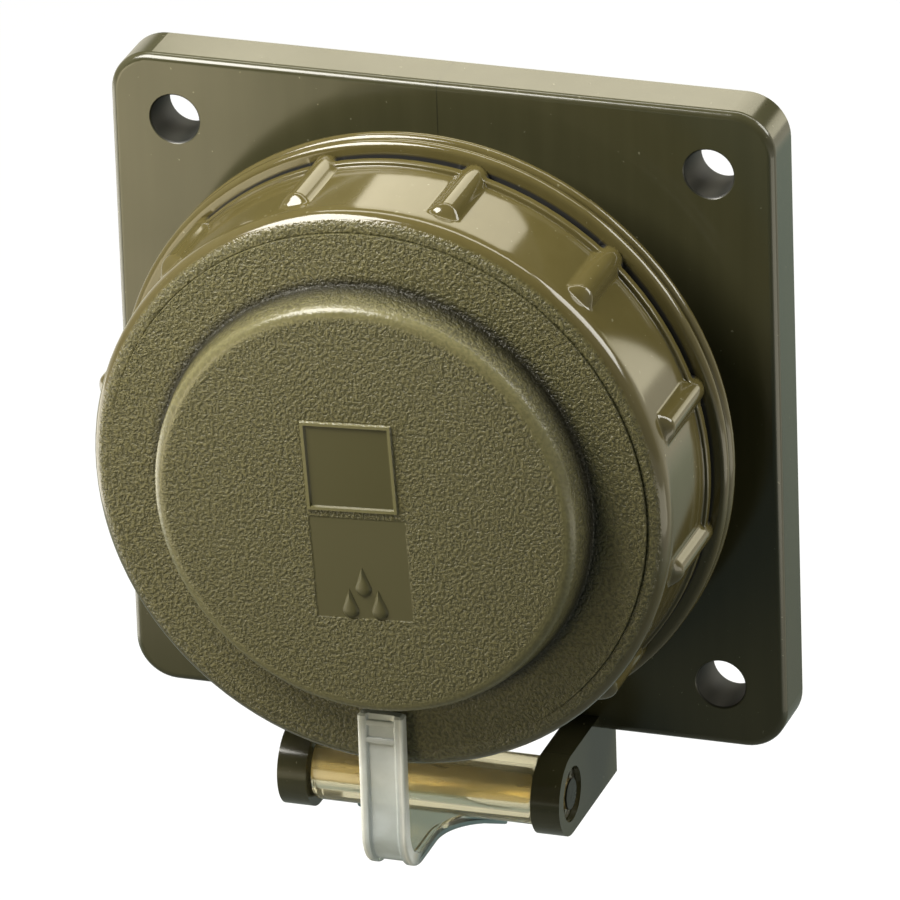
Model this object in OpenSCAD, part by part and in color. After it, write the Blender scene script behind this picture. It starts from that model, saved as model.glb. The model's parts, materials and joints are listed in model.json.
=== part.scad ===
// Watertight panel mount socket with a hinged lid, locked by a bayonet ring.
// The origin is the centre of the flange's back face, which lies on the panel.
// Seen from the front, +X is right and +Z is up. The front faces -Y.

/* [Flange] */
// Side of the square flange
flange_w = 87; // [82:0.5:94]
// Thickness of the flange
flange_t = 7.2; // [6:0.1:11]
// Radius of the flange's corners
flange_corner_r = 5.5; // [4:0.5:9]
// Rounding of the flange's front edge
flange_edge_r = 1; // [0.6:0.1:2.4]
// Distance between neighbouring fixing holes
hole_pitch = 70; // [67:0.5:74]
// Diameter of the fixing holes
hole_d = 6.4; // [4.5:0.1:7]
// Width of the bevel around a fixing hole
hole_bevel = 0.2; // [0.2:0.1:0.8]
// Wall that each fixing hole keeps around it
hole_wall = 3; // [2:0.25:4]
// Width of the panel gasket
gasket_w = 5.5; // [4:0.25:7]
// Thickness of the panel gasket
gasket_t = 1.6; // [1:0.1:2.5]

/* [Collar] */
// Inner radius of the collar that takes the plug's shroud
collar_ir = 30; // [29:0.25:31]
// Wall of the collar
collar_wall = 3; // [2.6:0.1:3.6]
// Height of the collar in front of the flange
collar_h = 21.4; // [19:0.1:26]
// Length of the spigot behind the panel
spigot_h = 12; // [8:0.5:18]
// Thickness of the floor at the back of the plug space
floor_t = 3; // [2:0.25:5]
// Width of the keyway at the bottom of the collar
keyway_w = 8; // [5:0.5:11]
// Depth of the keyway
keyway_d = 1.8; // [1:0.1:2]

/* [Bayonet ring] */
// Turn between the released and the locked ring, in degrees
lock_turn = 45; // [40:1:55]
// Angle that each bayonet lug covers, in degrees
lug_angle = 30; // [20:1:34]
// Height of the collar's lugs
lug_h = 2.2; // [1.6:0.1:2.8]
// Thickness of the lugs along the axis
lug_t = 3.3; // [2:0.1:4]
// Gap between the flange and the ring
ring_stand = 6.8; // [5.5:0.1:8]
// Gap between the collar's lugs and the inside of the ring
ring_gap = 1; // [0.8:0.1:1.6]
// Wall of the ring
ring_wall = 1.4; // [1.2:0.1:2]
// Rounding of the ring's front edge
ring_edge_r = 2; // [1.2:0.1:2.4]
// Thickness of the lip at the front of the ring
ring_lip_t = 1.8; // [1.2:0.1:2.4]
// Reach of the lip over the lid's shoulder
ring_lip_reach = 1; // [0.6:0.1:1.6]
// Height of the two beads around the rear of the ring
ring_bead_h = 2.4; // [1.8:0.1:3]
// Number of grip ribs
rib_count = 12; // [8:2:16]
// Width of a grip rib at its foot
rib_w = 3.8; // [3:0.1:6]
// Width of a grip rib at its top
rib_top_w = 2.2; // [1.5:0.1:3.4]
// Height of the grip ribs
rib_h = 1.3; // [1:0.1:2.2]
// Angle of the first grip rib, in degrees
rib_start = 17; // [0:0.5:29.5]

/* [Lid] */
// Thickness of the lid's shoulder
shoulder_t = 3.3; // [2.8:0.1:4.5]
// Height of the lid's face over the ring's front edge
lid_proud = 0.4; // [0.2:0.1:1]
// Radius of the raised dome at its foot
dome_r = 28.2; // [26:0.1:28.4]
// Height of the dome over the lid's face
dome_h = 5.3; // [4:0.1:8]
// Lean of the dome's side, from its foot to its top
dome_draft = 0.9; // [0.4:0.1:1.6]
// Rounding of the dome's edge
dome_edge_r = 1.7; // [1:0.1:2.4]
// Wall of the lid
lid_wall = 2.4; // [1.8:0.1:3]
// Thickness of the lid's seal
seal_t = 3; // [2:0.1:3.4]
// Part of the seal that stands out of its groove
seal_proud = 1; // [0.6:0.1:1.2]
// Gap between the seal and the collar while the ring is released
seal_gap = 0.3; // [0.2:0.05:0.6]
// Turn of the marks on the dome, in degrees
mark_turn = 3; // [-10:1:10]
// Side of the plain square mark
mark_square = 12; // [8:0.5:14]
// Height of the marks
mark_h = 0.3; // [0.1:0.05:0.6]
// Width of the smooth panel below the square mark
panel_w = 12.6; // [10:0.2:15]
// Height of the smooth panel
panel_h = 13.6; // [12.8:0.2:15]
// Depth of the smooth panel
panel_d = 0.15; // [0.05:0.05:0.4]

/* [Hinge] */
// Radius of the hinge pin
pin_r = 2; // [1.5:0.1:2.5]
// Radius of the strap's barrel around the pin
barrel_r = 4.4; // [3.6:0.1:5]
// Radius of the ears around the pin
ear_r = 5.4; // [4.8:0.1:6.5]
// Thickness of each ear
ear_t = 3.85; // [3:0.05:5]
// Clear width between the ears
ear_space = 29.8; // [27:0.1:34]
// Gap between the ring and the ears
ear_gap = 1.5; // [1:0.1:3]
// Distance of the pin in front of the ring's rear edge
pin_set = 4.8; // [3.5:0.1:6]
// Radius of the recess around the pin's ends
recess_r = 3.6; // [3.2:0.1:4.2]
// Depth of the recess around the pin's ends
recess_d = 1.3; // [1:0.1:1.8]
// Distance from the ears' back to the panel
ear_back = 0.7; // [0.5:0.1:3]

/* [Strap] */
// Width of the strap's tongue
strap_w = 6; // [5:0.1:9]
// Thickness of the strap at its edges
strap_t = 1.8; // [1.4:0.1:2.2]
// Width of the beads along the tongue
strap_bead_w = 1.1; // [0.6:0.1:1.6]
// Height of the beads along the tongue
strap_bead_h = 0.45; // [0.2:0.05:0.7]
// Outer radius of the strap's bend
bend_r = 6; // [4.5:0.1:7]
// Radius of the flare where the strap widens to the barrel
flare_r = 7; // [4:0.25:9]
// Drop of the strap's run below the barrel
strap_drop = 1; // [0.2:0.1:1.6]
// Gap between the dome's foot and the tongue's end
tongue_gap = 1.3; // [0.6:0.1:3]

/* [Contacts] */
// Radius of the circle that the contacts stand on
contact_circle_r = 16; // [15.5:0.1:16.4]
// Radius of a phase pin
phase_pin_r = 2.5; // [2.2:0.1:2.6]
// Radius of the earth pin
earth_pin_r = 3.5; // [3.2:0.1:3.6]
// Wall of a contact sleeve
sleeve_wall = 1.35; // [1.1:0.05:1.5]
// Depth of the bore in a contact
bore_depth = 30; // [24:1:32]
// Gap between the carrier and the collar, for the plug's shroud
plug_gap = 4.8; // [4.6:0.1:5.2]
// Distance of the carrier's face behind the collar's edge
carrier_set = 3.6; // [2:0.1:6]
// Distance of a contact's mouth behind the carrier's face
mouth_set = 3; // [2:0.1:5]
// Length of the terminal block behind the panel spigot
block_h = 18; // [16:0.5:24]
// Radius of the terminal block
block_r = 29; // [27.5:0.25:29.5]
// Radius of the wire hole in a contact's tail
wire_r = 2.2; // [1.6:0.1:2.4]
// Radius of a terminal screw
terminal_screw_r = 1.95; // [1.5:0.05:2]
// Radius of the screws that hold the terminal block
block_screw_r = 1.9; // [1.5:0.1:2.2]

/* [Hidden] */
$fn = 96;
contact_count = 5;
slip = 0.2;
pin_clear = 0.05;
contact_clear = 0.05;
press_clear = 0.03;
overlap = 0.5;
cut = 1;
olive = [0.33, 0.31, 0.17];
dark_grey = [0.2, 0.2, 0.2];
black_rubber = [0.08, 0.08, 0.08];
brass = [0.78, 0.62, 0.3];
steel = [0.72, 0.72, 0.7];
clear_plastic = [0.85, 0.87, 0.86, 0.5];

// Radii, from the collar outwards
collar_or = collar_ir + collar_wall;
lug_r = collar_or + lug_h;
ring_ir = lug_r + ring_gap;
ring_or = ring_ir + ring_wall;
lug_play = 0.9;
ring_lug_r = collar_or + lug_play;
lid_rim_r = ring_ir - slip;
ring_lip_r = lid_rim_r - ring_lip_reach;
lid_front_r = ring_lip_r - slip;
bead_r = 0.9;
ring_bead_r = ring_or + ring_bead_h;
gasket_set = 0.8;
gasket_ir = collar_or + gasket_set;
gasket_or = gasket_ir + gasket_w;

// Distances in front of the panel, from the flange forwards
collar_top = flange_t + collar_h;
ring_z0 = flange_t + ring_stand;
seal_z0 = collar_top + seal_gap;
seal_z1 = seal_z0 + seal_t;
lid_z0 = seal_z0 + seal_proud;
shoulder_top = lid_z0 + shoulder_t;
lip_z0 = shoulder_top + slip;
ring_z1 = lip_z0 + ring_lip_t;
lid_face = ring_z1 + lid_proud;
dome_top = lid_face + dome_h;

// Rear part of the ring: two beads, a groove and a ledge
bead_pitch = 2.25;
bead1_z = ring_z0 + bead_r;
bead2_z = bead1_z + bead_pitch;
groove_z0 = bead2_z + bead_r;
groove_w = 1.3;
groove_d = 0.5;
ledge_z0 = groove_z0 + groove_w;
ledge_w = 0.9;
ledge_h = 0.6;
rib_set = 1.9;
rib_nose = 2;
rib_nose_h = 0.3;
rib_z1 = ring_z1 - ring_edge_r - rib_set;

// Bayonet lugs: the ring's lugs turn in behind the collar's lugs
lug_set = 1.2;
lug_gap = 0.3;
ring_lug_z0 = ring_z0 + lug_set;
collar_lug_z0 = ring_lug_z0 + lug_t + lug_gap;
snap_h = 0.7;
snap_t = 1;
snap_angle = 18;
snap_count = 6;

// Lid and its seal, which covers the collar's edge
seal_inset = 0.8;
seal_outset = 0.4;
seal_ir = collar_ir - seal_inset;
seal_or = collar_or + seal_outset;
dome_ir = dome_r - dome_draft - lid_wall;
mark_x = -1.2;
mark_line = 0.6;
panel_x = -0.75;
panel_top = -0.9;
drop_r = 1.05;
drop_slimness = 2.75;
drop_h = drop_slimness * drop_r;
drop_row1 = -10.4;
drop_row2 = -13.4;
drop_x = 1.9;

// Hinge
pin_y = -(ring_bead_r + ear_gap + ear_r);
pin_z = ring_z0 + pin_set;
ear_x0 = ear_space / 2;
ear_x1 = ear_x0 + ear_t;
ear_root = 2;
barrel_end = ear_x0 - slip;
pin_short = 0.1;
pin_head_room = 0.5;
pin_head_r = recess_r - pin_head_room;
pin_head_t = 1;
retainer_t = 0.5;
retainer_r = recess_r - slip;
retainer_rim = 0.6;

// Strap, from the barrel forwards and up the lid
tongue_z1 = lid_face + strap_t;
web_y0 = pin_y - barrel_r - strap_drop;
bend_z = tongue_z1 - bend_r;
bend_y = web_y0 + bend_r;
tongue_top = -(dome_r + tongue_gap);
strap_half = strap_w / 2;
flare_x = strap_half + flare_r;
tab_w = 4;
tab_h = 2;
tab_d = 2.2;
tab_set = 0.8;
tab_y = tongue_top - tab_set - tab_h / 2;
cross_rib_w = 0.8;
cross_rib_set = 1.6;
cross_rib_pitch = 2.4;

// Contact carrier, seal and terminal block, from the panel forwards and back
floor_z = -spigot_h + floor_t;
plug_depth = collar_top - floor_z;
carrier_r = collar_ir - plug_gap;
carrier_seal_t = 1;
carrier_step = 2;
carrier_neck_r = carrier_r - carrier_step;
floor_hole_r = carrier_neck_r + slip;
carrier_z0 = floor_z + carrier_seal_t;
carrier_z1 = collar_top - carrier_set;
block_z1 = -spigot_h;
block_z0 = block_z1 - block_h;
sleeve_top = carrier_z1 - mouth_set;
stop_t = 2;
stop_reach = 1.1;
mouth_clear = 0.5;
tail_set = 2;
tail_z0 = block_z0 + tail_set;
wire_stop = 1;
wire_depth = block_z1 - stop_t - wire_stop - tail_z0;
spring_set = 3;
spring_z = sleeve_top - spring_set;
spring_wire_r = 0.4;
slit_w = 0.8;
slit_h = 14;
screw_level = 0.45;
screw_z = block_z0 + block_h * screw_level;
terminal_screw_x = wire_r + slip / 2;
terminal_screw_l = 6.5;
block_screw_x = 5;
screw_head_ratio = 1.8;
block_screw_head_r = block_screw_r * screw_head_ratio;
block_screw_head_t = 2.2;
insert_wall = 1.2;
insert_l = 8;
insert_room = 1;
insert_r = block_screw_r + contact_clear + insert_wall;
block_screw_l = block_h + insert_l;

// Turns a shape drawn with z towards the viewer to face the front.
module facing_front() {
    rotate([90, 0, 0]) children();
}

// Extrudes a side view, drawn as forwards and up, from x0 to x1.
module across(x0, x1) {
    rotate([0, -90, 0])
        translate([0, 0, -x1])
            linear_extrude(x1 - x0) children();
}

// A round bar along the hinge line, from x0 to x1.
module hinge_bar(r, x0, x1) {
    translate([x0, pin_y, pin_z])
        rotate([0, 90, 0]) cylinder(r = r, h = x1 - x0);
}

// A piece of a ring that covers an angle around its middle.
module arc_block(r0, r1, z0, z1, middle, angle) {
    rotate([0, 0, middle - angle / 2])
        rotate_extrude(angle = angle)
            translate([r0, z0]) square([r1 - r0, z1 - z0]);
}

// A flat ring.
module washer(r0, r1, z0, z1) {
    translate([0, 0, z0])
        difference() {
            cylinder(r = r1, h = z1 - z0);
            translate([0, 0, -overlap]) cylinder(r = r0, h = z1 - z0 + 2 * overlap);
        }
}

// Section of the flange's edge, from a corner's centre outwards.
module flange_edge() {
    inner = flange_corner_r - flange_edge_r;
    square([inner, flange_t]);
    square([flange_corner_r, flange_t - flange_edge_r]);
    translate([inner, flange_t - flange_edge_r]) circle(flange_edge_r);
}

module at_fixing_holes() {
    for (x = [-1, 1], y = [-1, 1])
        translate([x * hole_pitch / 2, y * hole_pitch / 2, 0]) children();
}

module flange_plate() {
    c = flange_w / 2 - flange_corner_r;
    reach = flange_w / 2 - flange_edge_r;
    for (x = [-c, c], y = [-c, c])
        translate([x, y, 0]) rotate_extrude() flange_edge();
    for (turn = [0, 90, 180, 270])
        rotate([0, 0, turn])
            translate([c, c, 0])
                rotate([90, 0, 0]) linear_extrude(2 * c) flange_edge();
    translate([-reach, -c, 0]) cube([2 * reach, 2 * c, flange_t]);
    translate([-c, -reach, 0]) cube([2 * c, 2 * reach, flange_t]);
    at_fixing_holes() cylinder(r = hole_d / 2 + hole_wall, h = flange_t);
}

module fixing_holes() {
    r = hole_d / 2;
    at_fixing_holes() {
        translate([0, 0, -cut]) cylinder(r = r, h = flange_t + 2 * cut);
        translate([0, 0, flange_t - hole_bevel])
            cylinder(r1 = r, r2 = r + 2 * hole_bevel, h = 2 * hole_bevel);
    }
}

module hinge_ear(side) {
    x0 = side > 0 ? ear_x0 : -ear_x1;
    across(x0, x0 + ear_t) {
        translate([pin_z, pin_y]) circle(ear_r);
        translate([ear_back, pin_y - ear_r]) square([pin_z - ear_back, 2 * ear_r]);
        translate([ear_back, pin_y])
            square([flange_t - ear_back, ear_root - flange_w / 2 - pin_y]);
    }
}

module collar_fillet() {
    r = 1.2;
    rotate_extrude()
        difference() {
            translate([collar_or - overlap, flange_t - overlap]) square(r + overlap);
            translate([collar_or + r, flange_t + r]) circle(r);
        }
}

module housing() {
    color(olive) facing_front()
        difference() {
            union() {
                flange_plate();
                translate([0, 0, -spigot_h]) cylinder(r = collar_or, h = spigot_h + collar_top);
                collar_fillet();
                for (middle = [0, 180])
                    arc_block(collar_or - overlap, lug_r, collar_lug_z0, collar_lug_z0 + lug_t,
                              middle, lug_angle);
                hinge_ear(-1);
                hinge_ear(1);
            }
            translate([0, 0, floor_z]) cylinder(r = collar_ir, h = plug_depth + cut);
            translate([0, 0, -spigot_h - cut]) cylinder(r = floor_hole_r, h = floor_t + 2 * cut);
            translate([-keyway_w / 2, -collar_ir - keyway_d, floor_z])
                cube([keyway_w, collar_wall + keyway_d, plug_depth + cut]);
            washer(gasket_ir - slip / 2, gasket_or + slip / 2, -cut, gasket_t);
            fixing_holes();
            hinge_bar(pin_r + pin_clear, -ear_x1 - cut, ear_x1 + cut);
            hinge_bar(recess_r, -ear_x1 - cut, recess_d - ear_x1);
            hinge_bar(recess_r, ear_x1 - recess_d, ear_x1 + cut);
        }
}

module flange_gasket() {
    color(black_rubber) facing_front() washer(gasket_ir, gasket_or, 0, gasket_t);
}

// Contact 0 is the earth contact, at the keyway.
function contact_turn(i) = 270 + i * 360 / contact_count;
function contact_pin_r(i) = i == 0 ? earth_pin_r : phase_pin_r;
function mouth_r(i) = contact_pin_r(i) + mouth_clear;
function sleeve_r(i) = contact_pin_r(i) + contact_clear + sleeve_wall;
function pocket_r(i) = sleeve_r(i) + 2 * spring_wire_r - slip;
function stop_r(i) = pocket_r(i) + stop_reach;

module at_contact(i) {
    rotate([0, 0, contact_turn(i)])
        translate([contact_circle_r, 0, 0]) children();
}

module contact_carrier() {
    chamfer = 0.8;
    color(dark_grey) facing_front()
        difference() {
            union() {
                translate([0, 0, carrier_z0])
                    cylinder(r = carrier_r, h = carrier_z1 - chamfer - carrier_z0);
                translate([0, 0, carrier_z1 - chamfer])
                    cylinder(r1 = carrier_r, r2 = carrier_r - chamfer, h = chamfer);
                translate([0, 0, block_z1])
                    cylinder(r = carrier_neck_r, h = carrier_z0 - block_z1 + overlap);
            }
            for (i = [0:contact_count - 1])
                at_contact(i) {
                    translate([0, 0, block_z1 - cut])
                        cylinder(r = pocket_r(i), h = sleeve_top + slip - block_z1 + cut);
                    translate([0, 0, sleeve_top]) cylinder(r = mouth_r(i), h = mouth_set + cut);
                    translate([0, 0, carrier_z1 - chamfer])
                        cylinder(r1 = mouth_r(i), r2 = mouth_r(i) + 2 * chamfer, h = 2 * chamfer);
                }
            for (x = [-1, 1])
                translate([x * block_screw_x, 0, block_z1 - cut])
                    cylinder(r = insert_r + press_clear, h = insert_l + insert_room + cut);
        }
}

// Threaded bushes in the carrier that take the screws of the terminal block.
module carrier_inserts() {
    color(brass) facing_front()
        for (x = [-1, 1])
            translate([x * block_screw_x, 0, 0])
                washer(block_screw_r + contact_clear, insert_r, block_z1, block_z1 + insert_l);
}

module carrier_seal() {
    color(black_rubber) facing_front()
        washer(floor_hole_r + slip, carrier_r - slip, floor_z, carrier_z0);
}

module terminal_block() {
    color(dark_grey) facing_front()
        difference() {
            translate([0, 0, block_z0]) cylinder(r = block_r, h = block_h);
            for (i = [0:contact_count - 1])
                at_contact(i) {
                    translate([0, 0, block_z0 - cut])
                        cylinder(r = sleeve_r(i) + contact_clear, h = block_h + 2 * cut);
                    translate([0, 0, block_z1 - stop_t])
                        cylinder(r = stop_r(i) + contact_clear, h = stop_t + cut);
                    translate([0, 0, screw_z])
                        rotate([0, 90, 0])
                            cylinder(r = terminal_screw_r + slip, h = block_r);
                }
            for (x = [-1, 1])
                translate([x * block_screw_x, 0, block_z0 - cut]) {
                    cylinder(r = block_screw_r + contact_clear, h = block_h + 2 * cut);
                    cylinder(r = block_screw_head_r + slip, h = block_screw_head_t + cut);
                }
        }
}

module contact(i) {
    r = sleeve_r(i);
    color(brass) facing_front() at_contact(i)
        difference() {
            union() {
                translate([0, 0, tail_z0]) cylinder(r = r, h = sleeve_top - tail_z0);
                translate([0, 0, block_z1 - stop_t]) cylinder(r = stop_r(i), h = stop_t);
            }
            translate([0, 0, sleeve_top - bore_depth])
                cylinder(r = contact_pin_r(i) + contact_clear, h = bore_depth + cut);
            translate([-r - cut, -slit_w / 2, sleeve_top - slit_h])
                cube([2 * (r + cut), slit_w, slit_h + cut]);
            translate([0, 0, spring_z])
                rotate_extrude() translate([r + contact_clear, 0]) circle(spring_wire_r + contact_clear);
            translate([0, 0, tail_z0 - cut]) cylinder(r = wire_r, h = wire_depth + cut);
            translate([0, 0, screw_z])
                rotate([0, 90, 0])
                    cylinder(r = terminal_screw_r + contact_clear, h = r + cut);
        }
}

module contact_pe() {
    contact(0);
}

module contact_l1() {
    contact(1);
}

module contact_l2() {
    contact(2);
}

module contact_l3() {
    contact(3);
}

module contact_n() {
    contact(4);
}

// One open wire ring keeps each slit sleeve closed.
module contact_springs() {
    opening = 40;
    color(steel) facing_front()
        for (i = [0:contact_count - 1])
            at_contact(i)
                translate([0, 0, spring_z])
                    rotate([0, 0, 90 + opening / 2])
                        rotate_extrude(angle = 360 - opening)
                            translate([sleeve_r(i) + contact_clear, 0]) circle(spring_wire_r, $fn = 24);
}

module terminal_screws() {
    slot_w = 0.7;
    slot_d = 1;
    color(steel) facing_front()
        for (i = [0:contact_count - 1])
            at_contact(i)
                translate([terminal_screw_x, 0, screw_z])
                    rotate([0, 90, 0])
                        difference() {
                            cylinder(r = terminal_screw_r, h = terminal_screw_l);
                            translate([-terminal_screw_r - cut, -slot_w / 2, terminal_screw_l - slot_d])
                                cube([2 * (terminal_screw_r + cut), slot_w, slot_d + cut]);
                        }
}

module block_screws() {
    slot_w = 0.9;
    slot_d = 1.1;
    color(steel) facing_front()
        for (x = [-1, 1])
            translate([x * block_screw_x, 0, block_z0])
                difference() {
                    union() {
                        cylinder(r = block_screw_r, h = block_screw_l);
                        cylinder(r = block_screw_head_r, h = block_screw_head_t);
                    }
                    translate([-slot_w / 2, -block_screw_head_r - cut, -cut])
                        cube([slot_w, 2 * (block_screw_head_r + cut), slot_d + cut]);
                }
}

module hinge_pin() {
    color(steel) facing_front() {
        hinge_bar(pin_r, pin_short - ear_x1, ear_x1 - pin_short);
        hinge_bar(pin_head_r, recess_d - pin_head_t - ear_x1, recess_d - ear_x1);
    }
}

// Push-on star washer at the free end of the hinge pin.
module pin_retainer() {
    prongs = 6;
    notch_w = 0.8;
    x0 = ear_x1 - recess_d;
    color(steel) facing_front()
        difference() {
            hinge_bar(retainer_r, x0, x0 + retainer_t);
            hinge_bar(pin_r + press_clear, x0 - cut, x0 + retainer_t + cut);
            translate([x0, pin_y, pin_z])
                for (k = [0:prongs - 1])
                    rotate([k * 360 / prongs, 0, 0])
                        translate([-cut, -notch_w / 2, 0])
                            cube([retainer_t + 2 * cut, notch_w, retainer_r - retainer_rim]);
        }
}

// Side view of the strap's tongue and bend, from the outer face inwards.
module tongue_side(thickness, inset) {
    z1 = tongue_z1 - inset;
    r1 = bend_r - inset;
    translate([z1 - thickness, bend_y]) square([thickness, tongue_top - bend_y]);
    translate([bend_z, bend_y])
        intersection() {
            difference() {
                circle(r1);
                circle(r1 - thickness);
            }
            translate([0, -bend_r]) square(bend_r);
        }
}

// The strap's run seen from above: it widens in two hollow curves to the barrel.
module web_plan() {
    translate([-strap_half, pin_z]) square([strap_w, bend_z - pin_z]);
    difference() {
        translate([-flare_x, pin_z]) square([2 * flare_x, flare_r]);
        for (x = [-flare_x, flare_x])
            translate([x, pin_z + flare_r]) circle(flare_r);
    }
}

module hinge_strap() {
    core_t = strap_t - strap_bead_h;
    inner_half = strap_half - strap_bead_w;
    color(clear_plastic) facing_front()
        difference() {
            union() {
                hinge_bar(barrel_r, -barrel_end, barrel_end);
                translate([0, web_y0 + strap_t, 0])
                    rotate([90, 0, 0]) linear_extrude(strap_t) web_plan();
                across(-strap_half, strap_half) tongue_side(core_t, strap_bead_h);
                for (x0 = [-strap_half, inner_half])
                    across(x0, x0 + strap_bead_w) tongue_side(strap_t, 0);
                for (y = [tongue_top - cross_rib_set, tongue_top - cross_rib_set - cross_rib_pitch])
                    translate([-strap_half, y, lid_face + overlap])
                        cube([strap_w, cross_rib_w, strap_t - overlap]);
                translate([-tab_w / 2, tab_y - tab_h / 2, lid_face - tab_d])
                    cube([tab_w, tab_h, tab_d + overlap]);
            }
            hinge_bar(pin_r + pin_clear, -ear_x1, ear_x1);
        }
}

module dome_section() {
    top_r = dome_r - dome_draft;
    polygon([[0, 0], [dome_r, 0], [top_r, dome_h - dome_edge_r],
             [top_r - dome_edge_r, dome_h], [0, dome_h]]);
    translate([top_r - dome_edge_r, dome_h - dome_edge_r]) circle(dome_edge_r);
}

// A drop, drawn round its own belly.
module drop_shape() {
    shoulder = 15;
    x = drop_r * cos(shoulder);
    y = drop_r * sin(shoulder);
    circle(drop_r);
    polygon([[-x, y], [0, drop_h], [x, y]]);
}

// Plain marks on the dome: an empty square frame, and three drops on the panel below it.
module dome_marks() {
    rotate([0, 0, mark_turn])
        translate([0, 0, dome_top - overlap])
            linear_extrude(overlap + mark_h) {
                translate([mark_x - mark_square / 2, 0])
                    difference() {
                        square(mark_square);
                        translate([mark_line, mark_line]) square(mark_square - 2 * mark_line);
                    }
                translate([panel_x, drop_row1]) drop_shape();
                for (x = [-drop_x, drop_x])
                    translate([panel_x + x, drop_row2]) drop_shape();
            }
}

// The smooth panel's shallow recess in the dome.
module dome_panel() {
    rotate([0, 0, mark_turn])
        translate([panel_x - panel_w / 2, panel_top - panel_h, dome_top - panel_d])
            cube([panel_w, panel_h, panel_d + cut]);
}

module lid() {
    edge = 0.5;
    tab_room = slip / 2;
    color(olive) facing_front() {
        dome_marks();
        difference() {
            union() {
                translate([0, 0, lid_z0]) cylinder(r = lid_rim_r, h = shoulder_t);
                translate([0, 0, lid_z0]) cylinder(r = lid_front_r, h = lid_face - edge - lid_z0);
                translate([0, 0, lid_face - edge])
                    cylinder(r1 = lid_front_r, r2 = lid_front_r - edge, h = edge);
                translate([0, 0, lid_face]) rotate_extrude() dome_section();
            }
            dome_panel();
            translate([0, 0, lid_z0 - cut]) cylinder(r = dome_ir, h = dome_top - lid_wall - lid_z0 + cut);
            washer(seal_ir - slip / 2, seal_or + slip / 2, lid_z0 - cut, seal_z1);
            translate([-tab_w / 2 - tab_room, tab_y - tab_h / 2 - tab_room, lid_face - tab_d - tab_room])
                cube([tab_w + 2 * tab_room, tab_h + 2 * tab_room, tab_d + tab_room + cut]);
        }
    }
}

module lid_seal() {
    color(black_rubber) facing_front() washer(seal_ir, seal_or, seal_z0, seal_z1);
}

module ring_section() {
    difference() {
        union() {
            translate([ring_ir, ring_z0]) square([ring_wall, ring_z1 - ring_edge_r - ring_z0]);
            translate([ring_lip_r, lip_z0]) square([ring_or - ring_edge_r - ring_lip_r, ring_lip_t]);
            translate([ring_or - ring_edge_r, ring_z1 - ring_edge_r])
                intersection() {
                    circle(ring_edge_r);
                    square(ring_edge_r);
                }
            for (z = [bead1_z, bead2_z]) {
                translate([ring_bead_r - bead_r, z]) circle(bead_r);
                translate([ring_ir, z - bead_r]) square([ring_bead_r - bead_r - ring_ir, 2 * bead_r]);
            }
            translate([ring_ir, bead1_z]) square([ring_bead_r - bead_r - ring_ir, bead2_z - bead1_z]);
            translate([ring_ir, ledge_z0]) square([ring_wall + ledge_h, ledge_w]);
        }
        translate([0, ring_z0 - cut]) square([ring_ir, lip_z0 - ring_z0 + cut]);
        translate([ring_or - groove_d, groove_z0]) square([ring_bead_h + groove_d, groove_w]);
    }
}

// A grip rib with sloping sides and a sloping nose.
module grip_rib() {
    r0 = ring_or - groove_d - slip;
    r1 = ring_or + rib_h;
    intersection() {
        rotate([90, 0, 0])
            translate([0, 0, -rib_w])
                linear_extrude(2 * rib_w)
                    polygon([[r0, bead2_z], [r1, bead2_z], [r1, rib_z1 - rib_nose],
                             [ring_or + rib_nose_h, rib_z1], [r0, rib_z1]]);
        linear_extrude(ring_z1)
            polygon([[r0, -rib_w / 2], [ring_or, -rib_w / 2], [r1, -rib_top_w / 2],
                     [r1, rib_top_w / 2], [ring_or, rib_w / 2], [r0, rib_w / 2]]);
    }
}

module bayonet_ring() {
    color(olive) facing_front() {
        rotate_extrude() ring_section();
        for (k = [0:rib_count - 1])
            rotate([0, 0, rib_start + k * 360 / rib_count]) grip_rib();
        for (middle = [0, 180])
            arc_block(ring_lug_r, ring_ir + overlap, ring_lug_z0, ring_lug_z0 + lug_t,
                      middle + lock_turn, lug_angle);
        for (k = [0:snap_count - 1])
            arc_block(ring_ir - snap_h, ring_ir + overlap, lid_z0 - slip - snap_t, lid_z0 - slip,
                      90 + k * 360 / snap_count, snap_angle);
    }
}

housing();
flange_gasket();
contact_carrier();
carrier_inserts();
carrier_seal();
terminal_block();
contact_pe();
contact_l1();
contact_l2();
contact_l3();
contact_n();
contact_springs();
terminal_screws();
block_screws();
hinge_pin();
pin_retainer();
hinge_strap();
lid();
lid_seal();
bayonet_ring();
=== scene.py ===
"""Looks of the panel mount socket: finishes, the rounded ring, lid and strap, the light and the camera."""
import json
import math

import bmesh
import bpy
from mathutils import Matrix, Vector


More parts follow.
